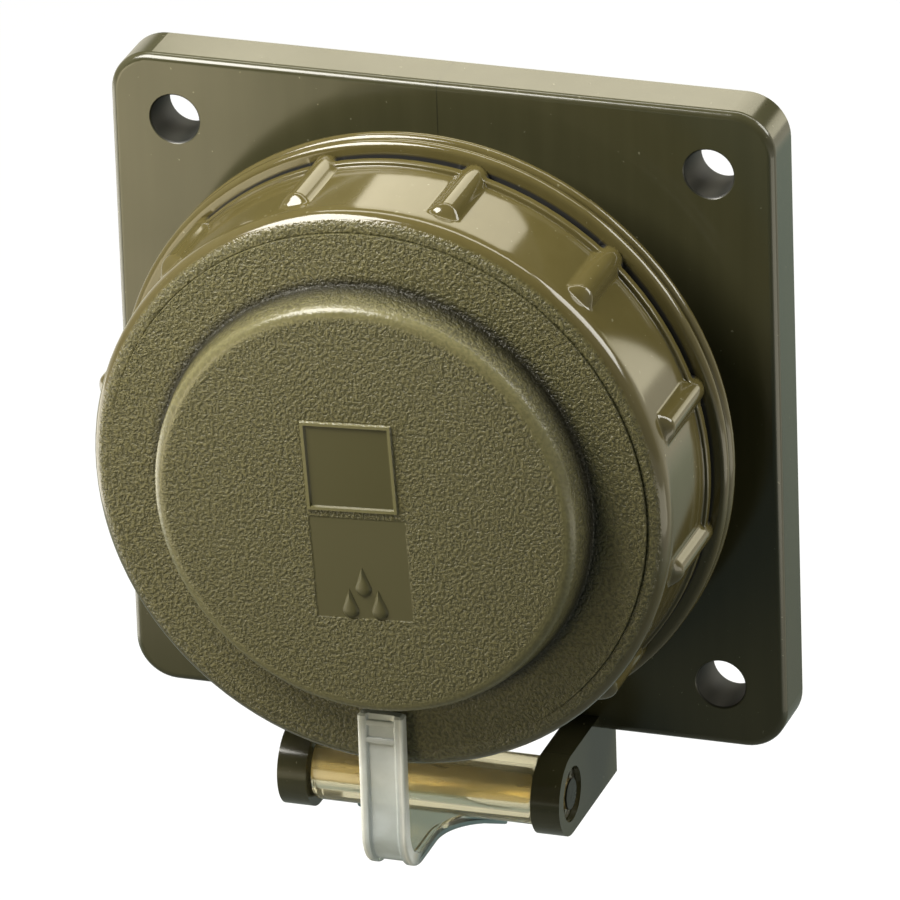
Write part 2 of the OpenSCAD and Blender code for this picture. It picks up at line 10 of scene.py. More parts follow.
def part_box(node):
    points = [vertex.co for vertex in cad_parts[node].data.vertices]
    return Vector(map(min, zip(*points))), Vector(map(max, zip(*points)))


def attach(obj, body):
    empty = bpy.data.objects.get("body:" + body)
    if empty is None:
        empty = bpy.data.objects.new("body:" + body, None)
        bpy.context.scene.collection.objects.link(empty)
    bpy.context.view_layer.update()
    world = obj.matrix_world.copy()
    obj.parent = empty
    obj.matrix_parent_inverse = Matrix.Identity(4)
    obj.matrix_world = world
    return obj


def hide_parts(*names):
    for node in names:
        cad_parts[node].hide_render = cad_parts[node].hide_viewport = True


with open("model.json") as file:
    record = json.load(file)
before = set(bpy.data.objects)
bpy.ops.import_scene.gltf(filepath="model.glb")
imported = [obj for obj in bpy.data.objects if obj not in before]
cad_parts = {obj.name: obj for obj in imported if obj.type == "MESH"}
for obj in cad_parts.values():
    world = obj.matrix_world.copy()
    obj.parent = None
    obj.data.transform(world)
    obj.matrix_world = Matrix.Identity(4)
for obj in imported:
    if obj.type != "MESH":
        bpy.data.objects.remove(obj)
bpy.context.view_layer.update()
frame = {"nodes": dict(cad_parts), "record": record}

# Sizes are in millimetres: outwards from the socket's axis, forwards from the panel, and up.
MM = 0.001
WELD = 0.002
FOUR_CORNERS = ((-1, -1), (1, -1), (1, 1), (-1, 1))
BLOCK_EDGE = 0.2
SINK = 0.5
ring_low, ring_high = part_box("bayonet_ring")
lid_low, lid_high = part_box("lid")
strap_low, strap_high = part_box("hinge_strap")
pin_low, pin_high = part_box("hinge_pin")

FLANGE_FRONT = 7.2
HOLE_PITCH = 70.0
HOLE_R = 3.2
SEAM_X, SEAM_UP = -0.2, 36.0

# Ring
RING_BACK = -ring_high.y / MM
RING_FRONT = -ring_low.y / MM
RING_BEAD_R = ring_high.x / MM
RING_OUT = 37.6
RING_IN = 36.2
RING_LIP_R = 35.0
RING_LIP_BACK = FLANGE_FRONT + 26.2
RING_EDGE = 2.0
BEAD = 0.9
BEAD_GAP = 0.45
GROOVE = RING_BACK + 4 * BEAD + BEAD_GAP
GROOVE_W = 0.9
GROOVE_R = 36.9
LEDGE_W = 1.3
LEDGE_R = 38.2
RIB_COUNT = 12
RIB_START = 17.0
RIB_FOOT = 4.2
RIB_TOP = 2.2
RIB_H = 1.3
RIB_CROWN_R = 1.7
RIB_NOSE_CROWN_R = 3.4
RIB_END = FLANGE_FRONT + 24.1
RIB_NOSE = 2.0
RIB_NOSE_H = 0.3
RIB_NOSE_SLOPE = 1.0
RIB_END_SLOPE = 3.0
RIB_SOFT = 0.4
RIB_FILLET = 0.4
LUG_ANGLE = 30.0
LUG_AT = 45.0
LUG_R = 33.9
LUG_BACK = FLANGE_FRONT + 8.0
LUG_T = 3.3
SNAP_COUNT = 6
SNAP_ANGLE = 18.0
SNAP_R = 35.5
SNAP_BACK = FLANGE_FRONT + 21.5
SNAP_T = 1.0

# Lid
LID_STEPS = 240
LID_BACK = -lid_high.y / MM
LID_RIM = lid_high.x / MM
MARK_H = 0.3
DOME_TOP = -lid_low.y / MM - MARK_H
SHOULDER_TOP = FLANGE_FRONT + 26.0
LID_FRONT_R = 34.96
LID_FACE = FLANGE_FRONT + 28.4
DOME_R = 28.2
DOME_DRAFT = 0.9
DOME_EDGE = 1.5
DOME_IN = 24.9
CEILING = FLANGE_FRONT + 31.3
SEAL_IN, SEAL_OUT, SEAL_TOP = 29.1, 33.5, FLANGE_FRONT + 24.7
MARK_TURN = 3.0
SQUARE = 12.0
SQUARE_X = -1.2
MARK_LINE = 0.6
MARK_SLOPE = 0.15
PANEL_W, PANEL_H, PANEL_D = 12.6, 13.6, 0.05
PANEL_X, PANEL_TOP = -0.75, -0.9
DROP_R, DROP_LENGTH = 1.05, 2.89
DROP_ROWS = ((0.0, -10.4), (-1.9, -13.4), (1.9, -13.4))

# Strap and hinge
PIN_UP = (pin_low.z + pin_high.z) / 2 / MM
PIN_FORWARD = -(pin_low.y + pin_high.y) / 2 / MM
BARREL_STEPS = 96
BARREL_R = 4.4
BARREL_END = strap_high.x / MM
BORE_R = 2.05
STRAP_W = 6.0
STRAP_T = 1.8
STRAP_BEAD_W, STRAP_BEAD_H = 1.1, 0.45
STRAP_FRONT = -strap_low.y / MM
STRAP_LOW = strap_low.z / MM
TONGUE_TOP = -29.5
BEND_R = 6.0
FLARE_R = 7.0
TAB_W, TAB_H, TAB_D, TAB_UP = 4.0, 2.0, 2.2, -31.3
CROSS_RIB_W = 0.8
CROSS_RIBS = (-31.1, -33.5)

# Finishes: linear colours
OLIVE = (0.1, 0.09, 0.036)
OLIVE_PIT = (0.05, 0.046, 0.018)
OLIVE_TOP = (0.142, 0.128, 0.053)
OLIVE_CLOUD = (0.1, 0.092, 0.04)
OLIVE_BARE = (0.067, 0.061, 0.0235)
# Painted highlight: a lighter olive for the raised line around the square.
OLIVE_LINE_HIGHLIGHT = (0.15, 0.137, 0.062)
# Painted highlight: a lighter olive for the dome's rounded edge.
OLIVE_EDGE_HIGHLIGHT = (0.2, 0.184, 0.095)
# Painted shade: a near-black olive for the crease at the dome's foot.
OLIVE_CREASE_SHADE = (0.012, 0.011, 0.005)
RING_OLIVE, RING_STREAK = (0.08, 0.065, 0.022), (0.09, 0.074, 0.027)
# Painted shade: the housing is the lid's olive plastic, painted darker for the shade on the flange.
HOUSING_OLIVE_SHADED, HOUSING_STREAK_SHADED = (0.043, 0.041, 0.0195), (0.052, 0.049, 0.024)
LIGHT_SPECK = (0.3, 0.29, 0.2)
# Painted shade: near black for the ring's groove.
GROOVE_SHADE = (0.006, 0.006, 0.005)
# Painted shade: near black for the insides of the fixing holes.
BORE_SHADE = (0.006, 0.007, 0.005)
SEAM_DARK = (0.012, 0.012, 0.008)
# Painted shade: the third colour, for the run, is a dark grey-green tint standing in for the shade seen through
# it.
CLEAR, CLEAR_BARREL, CLEAR_RUN_SHADE = (0.8, 0.82, 0.78), (0.86, 0.79, 0.53), (0.09, 0.13, 0.12)
# Painted highlight: the third colour, for the tongue's edges, is near white.
TONGUE_FOOT, TONGUE_HEAD, TONGUE_EDGE_HIGHLIGHT = (0.6, 0.66, 0.68), (0.88, 0.9, 0.88), (0.96, 0.97, 0.94)
# Painted shade: a dark metal for the hinge pin's ends in the ears' recesses.
METAL_END_SHADE = (0.04, 0.038, 0.03)

# Light: linear colours, and the lamps as place and size in metres, radiance and colour
WHITE = (1, 1, 1)
ROOM_COOL, ROOM_WARM = (0.6, 1.0, 0.88), (1, 0.95, 0.8)
FLOOR_GREY, FLOOR_DULL, FLOOR_CLEAN = (0.18, 0.18, 0.18), (0.175, 0.175, 0.175), (0.185, 0.185, 0.185)
FLOOR_COOL, FLOOR_WARM = (0.6, 1, 0.9), (1, 0.95, 0.78)
ROOM_LIGHT = 0.07
FLOOR_GLOW = 0.92
MIRROR_DIM = 0.1
LAMPS = {
    "key": ((-0.125, -0.13, 0.21), (0.14, 0.14), 23.0, (1, 0.97, 0.9)),
    "top": ((0.0, 0.1, 0.34), (0.42, 0.07), 8.0, (1, 0.96, 0.85)),
    "low_front": ((-0.24, -0.34, -0.1), (0.19, 0.19), 4.2, (1, 0.86, 0.56)),
    "left_low": ((-0.42, -0.02, -0.16), (0.42, 0.15), 3.5, (1, 0.96, 0.85)),
    "right_low": ((0.42, -0.14, -0.16), (0.4, 0.1), 2.2, (1, 0.94, 0.75)),
    "back": ((-0.08, 0.72, 0.41), (0.475, 0.26), 3.4, (1, 0.93, 0.72)),
    "back_right": ((0.43, 0.72, 0.1), (0.2, 0.24), 2.0, (1, 0.93, 0.66)),
    "right": ((0.68, 0.28, 0.52), (0.5, 0.5), 10.0, (1, 0.98, 0.9)),
}

# Floor and camera
FLOOR_UP = -260.0
FLOOR_HALF = 2.0
SENSOR_W = 36.0
FOCAL_PX = 12031.075
FRAME_PX = 900
AZIMUTH, ELEVATION, ROLL = 19.22, 24.76, -1.95
CAMERA_SHIFT = Vector((-0.18, -5.97, 1509.93))


def row_point(x, forward, up):
    """A point given in millimetres, in the frame's metres."""
    return Vector((x, -forward, up)) * MM


def smooth_min(a, b, k):
    """The lower of two values, blended where they are closer than k."""
    return min(a, b) - max(k - abs(a - b), 0) ** 2 / (4 * k)


def smooth_max(a, b, k):
    return -smooth_min(-a, -b, k)


def rounded(corners, steps=5):
    """The outline through corners (a, b, radius), each of them cut to an arc."""
    outline = []
    for i, (a, b, radius) in enumerate(corners):
        here = Vector((a, b))
        if not radius:
            outline.append(here)
            continue
        before = (Vector(corners[i - 1][:2]) - here).normalized()
        after = (Vector(corners[(i + 1) % len(corners)][:2]) - here).normalized()
        half = before.angle(after) / 2
        centre = here + (before + after).normalized() * radius / math.sin(half)
        reach = radius / math.tan(half)
        start = here + before * reach - centre
        end = here + after * reach - centre
        turn = math.atan2(start.x * end.y - start.y * end.x, start.dot(end))
        outline += [centre + Matrix.Rotation(turn * k / steps, 2) @ start for k in range(steps + 1)]
    return outline


def skin(rows, wrap_rows=True, wrap_points=True):
    """A closed mesh over rows of points. Rows that don't wrap end in flat caps."""
    bm = bmesh.new()
    grid = [[bm.verts.new(p) for p in row] for row in rows]
    size = len(rows[0])
    for i in range(len(rows) if wrap_rows else len(rows) - 1):
        a, b = grid[i], grid[(i + 1) % len(rows)]
        for j in range(size if wrap_points else size - 1):
            k = (j + 1) % size
            bm.faces.new((a[j], a[k], b[k], b[j]))
    if not wrap_rows:
        bm.faces.new(grid[0])
        bm.faces.new(grid[-1])
    bmesh.ops.remove_doubles(bm, verts=bm.verts, dist=WELD * MM)
    bmesh.ops.dissolve_degenerate(bm, edges=bm.edges, dist=WELD * MM)
    bmesh.ops.recalc_face_normals(bm, faces=bm.faces)
    return bm


def add_object(name, bm):
    mesh = bpy.data.meshes.new(name)
    bm.to_mesh(mesh)
    bm.free()
    obj = bpy.data.objects.new(name, mesh)
    bpy.context.scene.collection.objects.link(obj)
    return obj


def boolean(obj, tool, operation):
    """Unites obj with the tool or cuts it by the tool, which is used up."""
    modifier = obj.modifiers.new("boolean", "BOOLEAN")
    modifier.operation = operation
    modifier.solver = "EXACT"
    modifier.object = tool
    result = obj.evaluated_get(bpy.context.evaluated_depsgraph_get())
    mesh = bpy.data.meshes.new_from_object(result)
    obj.modifiers.clear()
    obj.data = mesh
    bpy.data.objects.remove(tool)


def turned(outline, angles):
    """Rows of points for an outline (radius, forwards) turned about the socket's axis."""
    return [[row_point(p.x * math.cos(a), p.y, p.x * math.sin(a)) for p in outline] for a in angles]


def full_turn(count):
    return [2 * math.pi * k / count for k in range(count)]


def prism(loops):
    """A closed mesh through loops of points, from the first to the last."""
    return skin(loops, wrap_rows=False)


def arc_block(r0, r1, back, front, middle, angle):
    """A piece of a ring around the socket's axis, with soft edges on its inside."""
    section = rounded([(r0, back, BLOCK_EDGE), (r1, back, 0), (r1, front, 0), (r0, front, BLOCK_EDGE)], 3)
    steps = 16
    first = middle - angle / 2
    return prism(turned(section, [math.radians(first + angle * k / steps) for k in range(steps + 1)]))


def finish_piece(obj, material, body, node, sharp=38):
    """Gives a piece its finish, smooth shading and its place in the frame."""
    obj.data.materials.clear()
    obj.data.materials.append(material)
    obj.data.shade_smooth()
    obj.data.set_sharp_from_angle(angle=math.radians(sharp))
    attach(obj, body)
    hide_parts(node)


# Ring: a turned section whose side swells into the grip ribs
def ring_outline():
    """The ring's section between its ribs, with extra points where a rib and its nose will rise."""
    bead1_end = RING_BACK + 2 * BEAD
    bead2 = bead1_end + BEAD_GAP
    bead_in = RING_BEAD_R - BEAD
    ledge = GROOVE + GROOVE_W
    ledge_end = ledge + LEDGE_W
    heel, groove_soft, ledge_back, ledge_front, lip_soft = 0.3, 0.15, 0.2, 0.25, 0.1
    corners = [
        (RING_IN, RING_BACK, heel), (RING_BEAD_R, RING_BACK, BEAD), (RING_BEAD_R, bead1_end, BEAD),
        (bead_in, bead1_end, 0), (bead_in, bead2, 0), (RING_BEAD_R, bead2, BEAD), (RING_BEAD_R, GROOVE, BEAD),
        (GROOVE_R, GROOVE, groove_soft), (GROOVE_R, ledge, groove_soft), (LEDGE_R, ledge, ledge_back),
        (LEDGE_R, ledge_end, ledge_front), (RING_OUT, ledge_end, ledge_front)]
    margin = 1
    plain_start = ledge_end + margin
    plain_end = RIB_END - RIB_NOSE - margin
    nose_end = RIB_END + margin
    plain_steps, nose_steps = 6, 26
    for k in range(plain_steps):
        corners.append((RING_OUT, plain_start + (plain_end - plain_start) * k / plain_steps, 0))
    for k in range(nose_steps + 1):
        corners.append((RING_OUT, plain_end + (nose_end - plain_end) * k / nose_steps, 0))
    corners += [(RING_OUT, RING_FRONT, RING_EDGE), (RING_LIP_R, RING_FRONT, lip_soft),
                (RING_LIP_R, RING_LIP_BACK, lip_soft), (RING_IN, RING_LIP_BACK, 0)]
    return rounded(corners, 6)


def rib_radius(across, forward):
    """Radius of a rib's surface at a distance across it and forwards."""
    slope = RIB_H / (RIB_FOOT - RIB_TOP) * 2
    side = slope * (RIB_FOOT / 2 - abs(across))
    crown = RIB_H - across ** 2 / (2 * RIB_CROWN_R)
    nose = RIB_NOSE_H + RIB_NOSE_SLOPE * (RIB_END - forward) - across ** 2 / (2 * RIB_NOSE_CROWN_R)
    end = RIB_END_SLOPE * (RIB_END + RIB_NOSE_H / RIB_END_SLOPE - forward)
    top = smooth_min(smooth_min(crown, side, RIB_SOFT), smooth_min(nose, end, RIB_SOFT), RIB_SOFT)
    return RING_OUT + top


def ring_rows():
    """Sections around the ring, close together where a rib rises from it."""
    outline = ring_outline()
    rib_back = RING_BACK + 3 * BEAD + BEAD_GAP
    reach = RIB_FOOT / 2 + 1.2
    gap = 2 * math.pi / RIB_COUNT * RING_OUT - 2 * reach
    half_steps, gap_steps = 17, 6
    across = [reach * k / half_steps for k in range(-half_steps, half_steps + 1)]
    across += [reach + gap * k / gap_steps for k in range(1, gap_steps)]
    rows = []
    for rib in range(RIB_COUNT):
        middle = math.radians(RIB_START + rib * 360 / RIB_COUNT)
        for t in across:
            a = middle + t / RING_OUT
            row = []
            for r, forward in outline:
                if forward > rib_back and r > RING_IN and abs(t) <= reach + 0.01:
                    r = smooth_max(r, rib_radius(t, forward), RIB_FILLET)
                row.append(row_point(r * math.cos(a), forward, r * math.sin(a)))
            rows.append(row)
    return rows


def make_ring(material):
    ring = add_object("ring", skin(ring_rows()))
    blocks = [(LUG_R, LUG_BACK, LUG_T, LUG_AT + 180 * k, LUG_ANGLE) for k in range(2)]
    blocks += [(SNAP_R, SNAP_BACK, SNAP_T, 90 + k * 360 / SNAP_COUNT, SNAP_ANGLE) for k in range(SNAP_COUNT)]
    for r, back, thick, middle, angle in blocks:
        block = add_object("block", arc_block(r, RING_IN + SINK, back, back + thick, middle, angle))
        boolean(ring, block, "UNION")
    finish_piece(ring, material, "ring", "bayonet_ring")


# Lid: a turned shell with raised marks and a shallow panel
def lid_outline():
    """Half of the lid's section, from the middle of the dome to the middle of its hollow."""
    top_r = DOME_R - DOME_DRAFT
    foot, front_edge, rim, seal_edge, hollow_edge, ceiling_edge = 0.35, 0.1, 0.3, 0.2, 0.4, 1.0
    corners = [
        (0, DOME_TOP, 0), (top_r, DOME_TOP, DOME_EDGE), (DOME_R, LID_FACE, foot),
        (LID_FRONT_R, LID_FACE, front_edge), (LID_FRONT_R, SHOULDER_TOP, 0), (LID_RIM, SHOULDER_TOP, rim),
        (LID_RIM, LID_BACK, rim), (SEAL_OUT, LID_BACK, seal_edge), (SEAL_OUT, SEAL_TOP, 0),
        (SEAL_IN, SEAL_TOP, 0), (SEAL_IN, LID_BACK, seal_edge), (DOME_IN, LID_BACK, hollow_edge),
        (DOME_IN, CEILING, ceiling_edge), (0, CEILING, 0)]
    return rounded(corners, 6)


def mark_point(x, up, forward):
    """A point on the dome, in the turned frame of its marks."""
    a = math.radians(MARK_TURN)
    return row_point(x * math.cos(a) - up * math.sin(a), forward, x * math.sin(a) + up * math.cos(a))


def rectangle(x, up, half_w, half_h, forward):
    return [mark_point(x + sx * half_w, up + su * half_h, forward) for sx, su in FOUR_CORNERS]


def square_frame():
    """A raised line around a square, with sloping sides."""
    half = SQUARE / 2
    inner = half - MARK_LINE
    top = DOME_TOP + MARK_H
    steps = [(half, DOME_TOP - SINK), (half, DOME_TOP), (half - MARK_SLOPE, top), (inner + MARK_SLOPE / 2, top),
             (inner - MARK_SLOPE / 2, DOME_TOP), (inner - MARK_SLOPE / 2, DOME_TOP - SINK)]
    return skin([rectangle(SQUARE_X, half, h, h, forward) for h, forward in steps])


def drop(x, up):
    """A raised drop with sloping sides."""
    start, sweep, steps = 165, 210, 24
    angles = [math.radians(start + sweep * k / steps) for k in range(steps + 1)]
    points = [(DROP_R * math.cos(a), DROP_R * math.sin(a)) for a in angles] + [(0, DROP_LENGTH)]
    loops = [(1, -SINK), (1, 0), (0.85, 0.6 * MARK_H), (0.55, MARK_H)]
    return prism([[mark_point(PANEL_X + x + scale * px, up + scale * py, DOME_TOP + rise) for px, py in points]
                  for scale, rise in loops])


def tongue_slot():
    """The opening in the lid's face for the tongue's tab."""
    room = 0.1
    half_w, half_h = TAB_W / 2 + room, TAB_H / 2 + room
    return prism([[row_point(sx * half_w, forward, TAB_UP + su * half_h) for sx, su in FOUR_CORNERS]
                  for forward in (LID_FACE - TAB_D - room, LID_FACE + 1)])


def make_lid(material):
    lid = add_object("lid_shell", skin(turned(lid_outline(), full_turn(LID_STEPS)), wrap_points=False))
    panel_up = PANEL_TOP - PANEL_H / 2
    panel = prism([rectangle(PANEL_X, panel_up, PANEL_W / 2 + grow, PANEL_H / 2 + grow, forward)
                   for grow, forward in ((0, DOME_TOP - PANEL_D), (2 * PANEL_D, DOME_TOP + PANEL_D))])
    boolean(lid, add_object("panel", panel), "DIFFERENCE")
    boolean(lid, add_object("slot", tongue_slot()), "DIFFERENCE")
    boolean(lid, add_object("frame", square_frame()), "UNION")
    for x, up in DROP_ROWS:
        boolean(lid, add_object("drop", drop(x, up)), "UNION")
    finish_piece(lid, material, "lid", "lid")


# Strap: a swept tongue, bend and run, in one piece with the barrel
def strap_section(half, inset=0.0):
    """Section of the strap as (across, depth from its outer face)."""
    w = half - inset
    inner = half - STRAP_BEAD_W
    low = STRAP_BEAD_H + inset * 0.2
    slope, edge, bead_edge, low_edge = 0.2, 0.35, 0.2, 0.15
    return rounded([(-w, inset, edge), (-inner, inset, bead_edge), (-inner + slope, low, low_edge),
                    (inner - slope, low, low_edge), (inner, inset, bead_edge), (w, inset, edge),
                    (w, STRAP_T - inset, edge), (-w, STRAP_T - inset, edge)], 4)


def strap_stations():
    """Places along the strap's outer face: half width, forwards, up, and the way into the strap."""
    half = STRAP_W / 2
    bend_forward = STRAP_FRONT - BEND_R
    bend_up = STRAP_LOW + BEND_R
    curve_steps, tongue_steps = 14, 4
    stations = []
    for k in range(curve_steps + 1):
        along = FLARE_R * k / curve_steps
        spread = FLARE_R - math.sqrt(FLARE_R ** 2 - (FLARE_R - along) ** 2)
        stations.append((half + spread, PIN_FORWARD + along, STRAP_LOW, (0, 1)))
    for k in range(curve_steps + 1):
        a = math.radians(-90 + 90 * k / curve_steps)
        stations.append((half, bend_forward + BEND_R * math.cos(a), bend_up + BEND_R * math.sin(a),
                         (-math.cos(a), -math.sin(a))))
    for k in range(1, tongue_steps + 1):
        stations.append((half, STRAP_FRONT, bend_up + (TONGUE_TOP - bend_up) * k / tongue_steps, (-1, 0)))
    return stations


def strap_rows():
    """Sections along the strap, the last of them drawn in to round its end."""
    stations = strap_stations()
    rows = [[row_point(x, forward + d * inwards[0], up + d * inwards[1]) for x, d in strap_section(half)]
            for half, forward, up, inwards in stations]
    end_round = 0.3
    half, forward, up, _ = stations[-1]
    rows[-1] = [p - Vector((0, 0, end_round * MM)) for p in rows[-1]]
    rows.append([row_point(x, forward - d, up) for x, d in strap_section(half, end_round)])
    return rows


def barrel_rows():
    """Sections of the barrel around the hinge pin."""
    bore_edge, end_edge = 0.2, 0.5
    section = rounded([(BORE_R, -BARREL_END, bore_edge), (BARREL_R, -BARREL_END, end_edge),
                       (BARREL_R, BARREL_END, end_edge), (BORE_R, BARREL_END, bore_edge)], 4)
    return [[row_point(p.y, PIN_FORWARD + p.x * math.cos(a), PIN_UP + p.x * math.sin(a)) for p in section]
            for a in full_turn(BARREL_STEPS)]


def bar_block(half_w, forward0, forward1, up, height):
    """A bar across the strap, with rounded long edges."""
    low, high = up - height / 2, up + height / 2
    section = rounded([(forward0, low, 0), (forward1, low, BLOCK_EDGE), (forward1, high, BLOCK_EDGE),
                       (forward0, high, 0)], 3)
    return prism([[row_point(x, p.x, p.y) for p in section] for x in (-half_w, half_w)])


def make_strap(material):
    strap = add_object("strap", skin(strap_rows(), wrap_rows=False))
    boolean(strap, add_object("barrel", skin(barrel_rows())), "UNION")
    inner = STRAP_W / 2 - STRAP_BEAD_W / 2
    bar_set = 0.1
    for up in CROSS_RIBS:
        bar = bar_block(inner, LID_FACE + SINK, STRAP_FRONT - bar_set, up + CROSS_RIB_W / 2, CROSS_RIB_W)
        boolean(strap, add_object("bar", bar), "UNION")
    tab = bar_block(TAB_W / 2, LID_FACE + SINK, LID_FACE - TAB_D, TAB_UP, TAB_H)
    boolean(strap, add_object("tab", tab), "UNION")
    finish_piece(strap, material, "lid", "hinge_strap", sharp=32)


# Materials
def new_material(name, colour, **sockets):
    """A Principled material with plain values on its sockets."""
    material = bpy.data.materials.new(name)
    material.use_nodes = True
    shader = material.node_tree.nodes["Principled BSDF"]
    shader.inputs["Base Color"].default_value = (*colour, 1)
    for socket, value in sockets.items():
        shader.inputs[socket.replace("_", " ")].default_value = value
    return material, material.node_tree, shader


def add_node(tree, kind, inputs=(), **settings):
    """A node with its settings, and its inputs as values or as sockets to link."""
    node = tree.nodes.new("ShaderNode" + kind)
    for name, value in settings.items():
        setattr(node, name, value)
    for name, value in dict(inputs).items():
        if isinstance(value, bpy.types.NodeSocket):
            tree.links.new(value, node.inputs[name])
        else:
            node.inputs[name].default_value = value
    return node


def place(tree, stretch=(1, 1, 1), turn=(0, 0, 0)):
    """Object coordinates in metres, stretched and turned."""
    coordinates = add_node(tree, "TexCoord").outputs["Object"]
    mapping = add_node(tree, "Mapping", {"Vector": coordinates, "Scale": stretch, "Rotation": turn})
    return mapping.outputs["Vector"]


def noise(tree, scale, detail=2.0, roughness=0.5, vector=None):
    """Noise from 0 to 1 with a scale per metre."""
    vector = vector or place(tree)
    inputs = {"Vector": vector, "Scale": scale, "Detail": detail, "Roughness": roughness}
    return add_node(tree, "TexNoise", inputs).outputs["Fac"]


def math_node(tree, operation, a, b=0.0):
    return add_node(tree, "Math", {0: a, 1: b}, operation=operation).outputs[0]


def product(tree, first, *others):
    for other in others:
        first = math_node(tree, "MULTIPLY", first, other)
    return first


def highest(tree, a, b):
    return math_node(tree, "MAXIMUM", a, b)


def opposite(tree, share):
    """The share that is left over to 1."""
    return math_node(tree, "SUBTRACT", 1.0, share)


def distance(tree, value, middle=0.0):
    """How far a value is from a middle, to either side."""
    return math_node(tree, "ABSOLUTE", math_node(tree, "SUBTRACT", value, middle))


def length(tree, a, b):
    """Length of two offsets at right angles."""
    return math_node(tree, "SQRT", math_node(tree, "ADD", product(tree, a, a), product(tree, b, b)))


def remap(tree, value, low, high, to_low, to_high):
    """A value taken from one range to another, and held at its ends."""
    inputs = {"Value": value, "From Min": low, "From Max": high, "To Min": to_low, "To Max": to_high}
    return add_node(tree, "MapRange", inputs).outputs["Result"]


def band(tree, value, start, full, fall, end):
    """A share that rises from start to full, and goes from fall to end."""
    return product(tree, remap(tree, value, start, full, 0, 1), remap(tree, value, fall, end, 1, 0))


def mix_colours(tree, factor, first, second):
    node = add_node(tree, "Mix", data_type="RGBA")
    for index, value in ((0, factor), (6, first), (7, second)):
        if isinstance(value, bpy.types.NodeSocket):
            tree.links.new(value, node.inputs[index])
        else:
            node.inputs[index].default_value = value if index == 0 else (*value, 1)
    return node.outputs[2]


def bump(tree, height, distance, strength=1.0, normal=None):
    """Normals from a height field, with its depth in millimetres."""
    inputs = {"Height": height, "Distance": distance * MM, "Strength": strength}
    if normal:
        inputs["Normal"] = normal
    return add_node(tree, "Bump", inputs).outputs["Normal"]


def link(tree, shader, **sockets):
    for socket, value in sockets.items():
        tree.links.new(value, shader.inputs[socket.replace("_", " ")])


def inside(tree, vector, x, up, half_w, half_h):
    """1 inside a rectangle on the front, 0 outside it. Sizes are in millimetres."""
    soft = 0.15
    axes = add_node(tree, "SeparateXYZ", {"Vector": vector}).outputs
    parts = []
    for axis, middle, half in (("X", x, half_w), ("Z", up, half_h)):
        offset = distance(tree, axes[axis], middle * MM)
        parts.append(remap(tree, offset, (half - soft) * MM, (half + soft) * MM, 1, 0))
    return product(tree, *parts)


def places(tree):
    """Distances to the right, forwards from the panel and up, in millimetres."""
    axes = add_node(tree, "SeparateXYZ", {"Vector": place(tree, stretch=[1 / MM] * 3)}).outputs
    return axes["X"], math_node(tree, "MULTIPLY", axes["Y"], -1.0), axes["Z"]


def off_axis(tree):
    """Distance from the socket's axis in millimetres."""
    x, _, up = places(tree)
    return length(tree, x, up)


def moulding_grain(tree):
    """Eroded grain: 0 in its pits and 1 on its tops."""
    return remap(tree, noise(tree, 2250, detail=2.0, roughness=0.6), 0.36, 0.64, 0, 1)


def grain_tone(tree, grain):
    """Olive that is darker in the pits and a little cloudy."""
    clouds = remap(tree, noise(tree, 60), 0.3, 0.7, 0.0, 0.3)
    return mix_colours(tree, clouds, mix_colours(tree, grain, OLIVE_PIT, OLIVE_TOP), OLIVE_CLOUD)


def grained_olive():
    """Eroded grain outside, smooth inside and on the marks, worn smooth at the dome's edge with a painted
    highlight on it, and painted shade at its foot.
    """
    material, tree, shader = new_material("olive_grain", OLIVE, IOR=1.45)
    radius = off_axis(tree)
    forward = places(tree)[1]
    on_dome = remap(tree, forward, CEILING + 0.6, CEILING + 0.9, 0, 1)
    around_dome = product(tree, remap(tree, radius, DOME_IN + 0.8, DOME_IN + 1.2, 0, 1),
                          remap(tree, forward, LID_FACE - 0.9, LID_FACE - 0.5, 0, 1))
    outside = highest(tree, on_dome, around_dome)
    flat = place(tree, turn=(0, math.radians(MARK_TURN), 0))
    half = SQUARE / 2
    panel = inside(tree, flat, PANEL_X, PANEL_TOP - PANEL_H / 2, PANEL_W / 2, PANEL_H / 2)
    square = product(tree, inside(tree, flat, SQUARE_X, half, half, half), outside)
    within = inside(tree, flat, SQUARE_X, half, half - MARK_LINE, half - MARK_LINE)
    line = product(tree, square, opposite(tree, within))
    bare = highest(tree, highest(tree, square, panel), opposite(tree, outside))
    edge = product(tree, band(tree, radius, DOME_R - 2.6, DOME_R - 1.9, DOME_R - 0.9, DOME_R - 0.6), outside)
    # Painted shade: the crease around the dome's foot is darkened in colour.
    painted_crease_shade = product(tree, band(tree, radius, DOME_R - 0.5, DOME_R - 0.1, DOME_R + 0.25, DOME_R + 1.5), outside)
    grain = moulding_grain(tree)
    tone = mix_colours(tree, bare, grain_tone(tree, grain), OLIVE_BARE)
    # Painted highlight: the raised line around the square is lightened in colour.
    tone = mix_colours(tree, line, tone, OLIVE_LINE_HIGHLIGHT)
    # Painted highlight: the dome's rounded edge is lightened in colour (its smoother grain and gloss are wear).
    tone = mix_colours(tree, product(tree, edge, 0.45), tone, OLIVE_EDGE_HIGHLIGHT)
    # Painted shade in the crease at the dome's foot.
    tone = mix_colours(tree, product(tree, painted_crease_shade, 0.9), tone, OLIVE_CREASE_SHADE)
    worn = highest(tree, bare, product(tree, edge, 0.85))
    height = product(tree, grain, opposite(tree, worn))
    dull, glossy = 0.42, 0.22
    link(tree, shader, Base_Color=tone, Normal=bump(tree, height, 0.13),
         Roughness=remap(tree, highest(tree, edge, square), 0, 1, dull, glossy))
    return material


